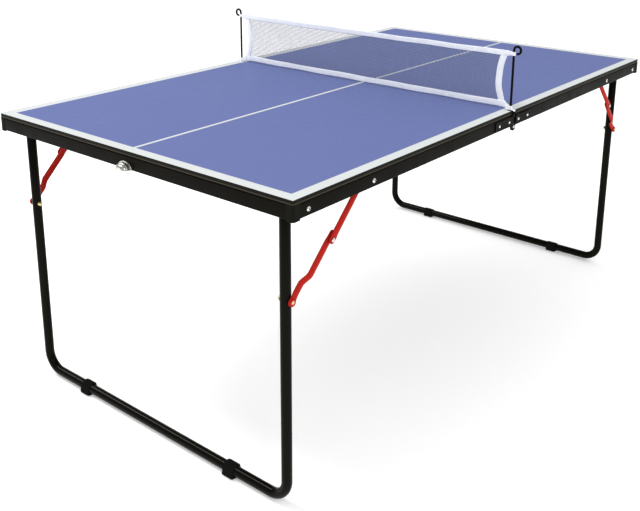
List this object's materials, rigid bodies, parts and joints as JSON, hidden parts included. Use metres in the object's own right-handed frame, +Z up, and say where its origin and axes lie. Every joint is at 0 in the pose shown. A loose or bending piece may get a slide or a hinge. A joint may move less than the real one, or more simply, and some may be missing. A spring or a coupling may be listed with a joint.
{
  "type": "ping pong table",
  "caption": "Folding ping pong table: two hinged half boards on U-tube leg frames with folding stays, and a lift-out net on wire posts.",
  "frame": {"origin": "on the floor, under the middle of the table", "axes": "+X along the table towards the far end, +Y across it to the left side, +Z up"},
  "size_m": [1.8452, 1.0524, 0.938],
  "materials": {
    "playfield": "matt blue lacquer on board, white border and centre line, black edge",
    "frame_steel": "satin black powder coat",
    "hinge_steel": "satin black powder coat",
    "leg_steel": "semi-gloss black powder coat",
    "cap_plastic": "fine-grained black moulding",
    "foot_rubber": "ribbed black rubber",
    "stay_red": "gloss red powder coat",
    "stay_rivet": "bright passivated",
    "hardware": "polished",
    "catch_chrome": "polished",
    "post_wire": "gloss black",
    "net_tape": "woven white tape",
    "net_mesh": "fine white knotted mesh"
  },
  "bodies": {
    "near_half": {"near_board": "playfield", "near_end_rail": "frame_steel", "near_fold_rail": "frame_steel", "near_right_side_rail": "frame_steel", "near_right_corner_cap": "cap_plastic", "near_right_hinge_plate": "hinge_steel", "near_right_leg_bolt": "hardware", "near_right_upper_stay_bolt": "hardware", "near_left_side_rail": "frame_steel", "near_left_corner_cap": "cap_plastic", "near_left_hinge_plate": "hinge_steel", "near_left_leg_bolt": "hardware", "near_left_upper_stay_bolt": "hardware", "right_hinge_pin": "hardware", "right_post_clip": "cap_plastic", "left_hinge_pin": "hardware", "left_post_clip": "cap_plastic", "near_catch_plate": "catch_chrome"},
    "far_half": {"far_board": "playfield", "far_end_rail": "frame_steel", "far_fold_rail": "frame_steel", "far_right_side_rail": "frame_steel", "far_right_corner_cap": "cap_plastic", "far_right_hinge_plate": "hinge_steel", "far_right_leg_bolt": "hardware", "far_right_upper_stay_bolt": "hardware", "far_left_side_rail": "frame_steel", "far_left_corner_cap": "cap_plastic", "far_left_hinge_plate": "hinge_steel", "far_left_leg_bolt": "hardware", "far_left_upper_stay_bolt": "hardware", "far_catch": "catch_chrome"},
    "near_leg": {"near_leg_frame": "leg_steel", "near_right_foot": "foot_rubber", "near_right_lower_stay_bolt": "stay_rivet", "near_left_foot": "foot_rubber", "near_left_lower_stay_bolt": "stay_rivet"},
    "near_right_upper_stay": {"near_right_upper_stay": "stay_red", "near_right_knee_rivet": "stay_rivet"},
    "near_right_lower_stay": {"near_right_lower_stay": "stay_red"},
    "near_left_upper_stay": {"near_left_upper_stay": "stay_red", "near_left_knee_rivet": "stay_rivet"},
    "near_left_lower_stay": {"near_left_lower_stay": "stay_red"},
    "far_leg": {"far_leg_frame": "leg_steel", "far_right_foot": "foot_rubber", "far_right_lower_stay_bolt": "stay_rivet", "far_left_foot": "foot_rubber", "far_left_lower_stay_bolt": "stay_rivet"},
    "far_right_upper_stay": {"far_right_upper_stay": "stay_red", "far_right_knee_rivet": "stay_rivet"},
    "far_right_lower_stay": {"far_right_lower_stay": "stay_red"},
    "far_left_upper_stay": {"far_left_upper_stay": "stay_red", "far_left_knee_rivet": "stay_rivet"},
    "far_left_lower_stay": {"far_left_lower_stay": "stay_red"},
    "net_set": {"right_net_post": "post_wire", "left_net_post": "post_wire", "net_panel": "net_mesh", "net_top_tape": "net_tape", "net_bottom_tape": "net_tape"},
    "near_catch_knob": {"near_catch_knob": "catch_chrome"}
  },
  "joints": [
    {"name": "table_fold", "type": "hinge", "parent": "near_half", "child": "far_half", "pos_m": [0, 0, 0.717], "axis": [0, 1, 0], "range_deg": [0, 90]},
    {"name": "near_leg_fold", "type": "hinge", "parent": "near_half", "child": "near_leg", "pos_m": [-0.857, 0, 0.733], "axis": [0, -1, 0], "range_deg": [0, 90]},
    {"name": "near_right_upper_stay_pivot", "type": "hinge", "parent": "near_half", "child": "near_right_upper_stay", "pos_m": [-0.636, -0.4875, 0.733], "axis": [0, 1, 0], "range_deg": [0, 45]},
    {"name": "near_right_lower_stay_pivot", "type": "hinge", "parent": "near_leg", "child": "near_right_lower_stay", "pos_m": [-0.857, -0.468, 0.512], "axis": [0, -1, 0], "range_deg": [0, 45]},
    {"name": "near_left_upper_stay_pivot", "type": "hinge", "parent": "near_half", "child": "near_left_upper_stay", "pos_m": [-0.636, 0.4875, 0.733], "axis": [0, 1, 0], "range_deg": [0, 45]},
    {"name": "near_left_lower_stay_pivot", "type": "hinge", "parent": "near_leg", "child": "near_left_lower_stay", "pos_m": [-0.857, 0.468, 0.512], "axis": [0, -1, 0], "range_deg": [0, 45]},
    {"name": "far_leg_fold", "type": "hinge", "parent": "far_half", "child": "far_leg", "pos_m": [0.857, 0, 0.733], "axis": [0, 1, 0], "range_deg": [0, 90]},
    {"name": "far_right_upper_stay_pivot", "type": "hinge", "parent": "far_half", "child": "far_right_upper_stay", "pos_m": [0.636, -0.4875, 0.733], "axis": [0, -1, 0], "range_deg": [0, 45]},
    {"name": "far_right_lower_stay_pivot", "type": "hinge", "parent": "far_leg", "child": "far_right_lower_stay", "pos_m": [0.857, -0.468, 0.512], "axis": [0, 1, 0], "range_deg": [0, 45]},
    {"name": "far_left_upper_stay_pivot", "type": "hinge", "parent": "far_half", "child": "far_left_upper_stay", "pos_m": [0.636, 0.4875, 0.733], "axis": [0, -1, 0], "range_deg": [0, 45]},
    {"name": "far_left_lower_stay_pivot", "type": "hinge", "parent": "far_leg", "child": "far_left_lower_stay", "pos_m": [0.857, 0.468, 0.512], "axis": [0, 1, 0], "range_deg": [0, 45]},
    {"name": "net_lift", "type": "slide", "parent": "near_half", "child": "net_set", "axis": [0, 0, 1], "range_m": [0, 0.06]},
    {"name": "catch_turn", "type": "hinge", "parent": "near_half", "child": "near_catch_knob", "pos_m": [-0.9149, 0, 0.7183], "axis": [1, 0, 0], "range_deg": [0, 180]}
  ],
  "couplings": [
    {"joint": "near_right_upper_stay_pivot", "follows": "near_leg_fold", "ratio": 0.5},
    {"joint": "near_right_lower_stay_pivot", "follows": "near_leg_fold", "ratio": 0.5},
    {"joint": "near_left_upper_stay_pivot", "follows": "near_leg_fold", "ratio": 0.5},
    {"joint": "near_left_lower_stay_pivot", "follows": "near_leg_fold", "ratio": 0.5},
    {"joint": "far_right_upper_stay_pivot", "follows": "far_leg_fold", "ratio": 0.5},
    {"joint": "far_right_lower_stay_pivot", "follows": "far_leg_fold", "ratio": 0.5},
    {"joint": "far_left_upper_stay_pivot", "follows": "far_leg_fold", "ratio": 0.5},
    {"joint": "far_left_lower_stay_pivot", "follows": "far_leg_fold", "ratio": 0.5}
  ]
}
